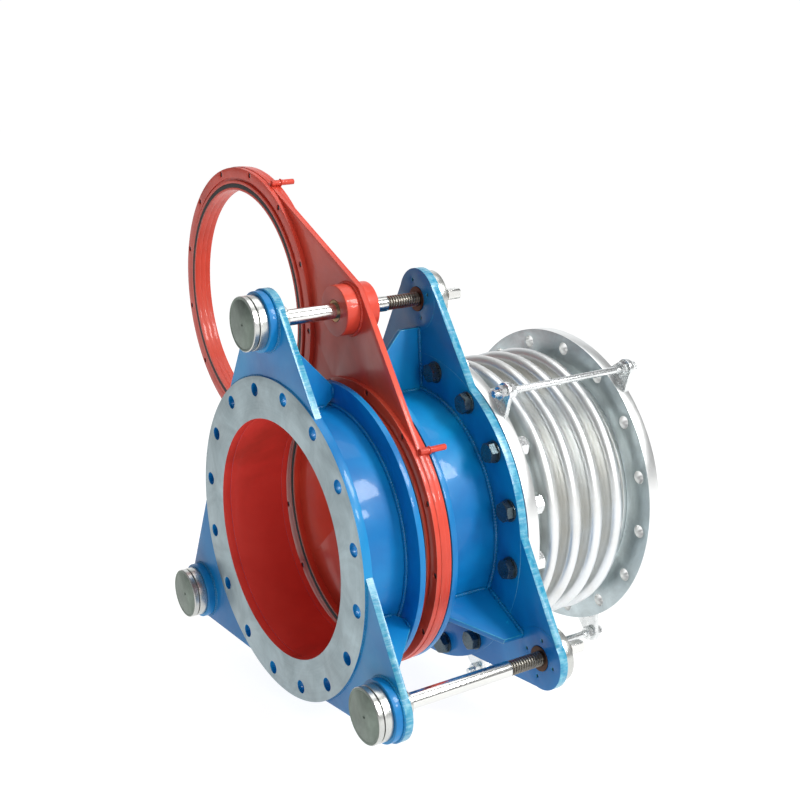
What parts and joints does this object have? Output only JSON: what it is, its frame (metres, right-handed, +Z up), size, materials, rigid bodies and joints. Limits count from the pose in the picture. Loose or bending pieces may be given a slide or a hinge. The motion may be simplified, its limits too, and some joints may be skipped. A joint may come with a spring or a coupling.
{
  "type": "line blind valve with bellows unit",
  "caption": "Large flanged pipe assembly: a blue line blind valve with a red swinging goggle plate between three clamping screws, bolted to a stainless bellows unit with tie rods.",
  "frame": {"origin": "centre of the inlet flange's machined face, on the pipe axis", "axes": "+Y along the pipe axis from the inlet flange to the outlet flange, +Z up through the top clamping screw and the goggle's pivot"},
  "size_m": [0.9706, 0.64, 0.8775],
  "materials": {
    "blue_paint": "glossy sprayed enamel",
    "red_paint": "glossy sprayed enamel",
    "seal_rubber": "matt",
    "bright_shank": "ground and plated, thread rolled",
    "turned_steel": "lathe turned",
    "bronze": "machined bronze",
    "black_steel": "black oxide",
    "oiled_steel": "oiled",
    "gasket_sheet": "matt fibre sheet",
    "zinc_steel": "bright zinc plate",
    "stainless": "satin, pickled",
    "flange_steel": "machined"
  },
  "bodies": {
    "inlet_body": {"inlet_flange": "blue_paint", "inlet_ears": "blue_paint", "inlet_screw_bosses": "blue_paint", "inlet_tube": "blue_paint", "inlet_seal_flange": "blue_paint", "inlet_gussets": "blue_paint", "screw_bushes": "bronze"},
    "top_screw_set": {"top_screw": "bright_shank", "top_thrust_disc": "turned_steel", "top_end_cap": "turned_steel", "top_thrust_collar": "turned_steel"},
    "right_screw_set": {"right_screw": "bright_shank", "right_thrust_disc": "turned_steel", "right_end_cap": "turned_steel", "right_thrust_collar": "turned_steel"},
    "left_screw_set": {"left_screw": "bright_shank", "left_thrust_disc": "turned_steel", "left_end_cap": "turned_steel", "left_thrust_collar": "turned_steel"},
    "pivot_bush": {"hub_bush": "bronze"},
    "goggle": {"sector_plate": "red_paint", "plate_hub": "red_paint", "stop_pins": "red_paint", "open_front_ring": "red_paint", "open_rear_ring": "red_paint", "open_front_seal": "seal_rubber", "open_rear_seal": "seal_rubber", "open_ring_screws": "black_steel", "blind_front_ring": "red_paint", "blind_rear_ring": "red_paint", "blind_front_seal": "seal_rubber", "blind_rear_seal": "seal_rubber", "blind_ring_screws": "black_steel"},
    "rear_body": {"rear_seal_flange": "blue_paint", "rear_tube": "blue_paint", "rear_gussets": "blue_paint", "rear_ear_flange": "blue_paint", "screw_nuts": "bronze", "nut_flanges": "oiled_steel", "nut_flange_screws": "black_steel", "flange_gasket": "gasket_sheet", "flange_bolts": "black_steel", "head_washers": "black_steel", "nut_washers": "zinc_steel", "flange_nuts": "zinc_steel", "bellows_inlet_flange": "stainless", "bellows_inlet_lugs": "zinc_steel", "bellows_convolutions": "stainless", "tie_rods": "zinc_steel", "tie_rod_nuts": "zinc_steel"},
    "outlet_body": {"outlet_flange": "flange_steel", "outlet_lugs": "zinc_steel", "outlet_collar": "stainless", "outlet_inner_nuts": "zinc_steel"}
  },
  "joints": [
    {"name": "top_screw_turn", "type": "hinge", "parent": "inlet_body", "child": "top_screw_set", "pos_m": [0, 0, 0.3611], "axis": [0, 1, 0], "range_deg": [0, 1325]},
    {"name": "right_screw_turn", "type": "hinge", "parent": "inlet_body", "child": "right_screw_set", "pos_m": [0.31272, 0, -0.18055], "axis": [0, 1, 0], "range_deg": [0, 1325]},
    {"name": "left_screw_turn", "type": "hinge", "parent": "inlet_body", "child": "left_screw_set", "pos_m": [-0.31272, 0, -0.18055], "axis": [0, 1, 0], "range_deg": [0, 1325]},
    {"name": "clamp_travel", "type": "slide", "parent": "inlet_body", "child": "rear_body", "axis": [0, -1, 0], "range_m": [0, 0.0184]},
    {"name": "goggle_float", "type": "slide", "parent": "inlet_body", "child": "pivot_bush", "axis": [0, -1, 0], "range_m": [0, 0.01821]},
    {"name": "goggle_swing", "type": "hinge", "parent": "pivot_bush", "child": "goggle", "pos_m": [0, 0.16, 0.3611], "axis": [0, -1, 0], "range_deg": [0, 85.5]},
    {"name": "bellows_stroke", "type": "slide", "parent": "rear_body", "child": "outlet_body", "axis": [0, -1, 0], "range_m": [0, 0.025], "stiffness_N_per_m": 200000, "deforming": ["bellows_convolutions"]}
  ],
  "couplings": [
    {"joint": "top_screw_turn", "follows": "clamp_travel", "rad_per_m": 1256.6},
    {"joint": "right_screw_turn", "follows": "clamp_travel", "rad_per_m": 1256.6},
    {"joint": "left_screw_turn", "follows": "clamp_travel", "rad_per_m": 1256.6},
    {"joint": "goggle_float", "follows": "clamp_travel", "ratio": 0.98913}
  ]
}
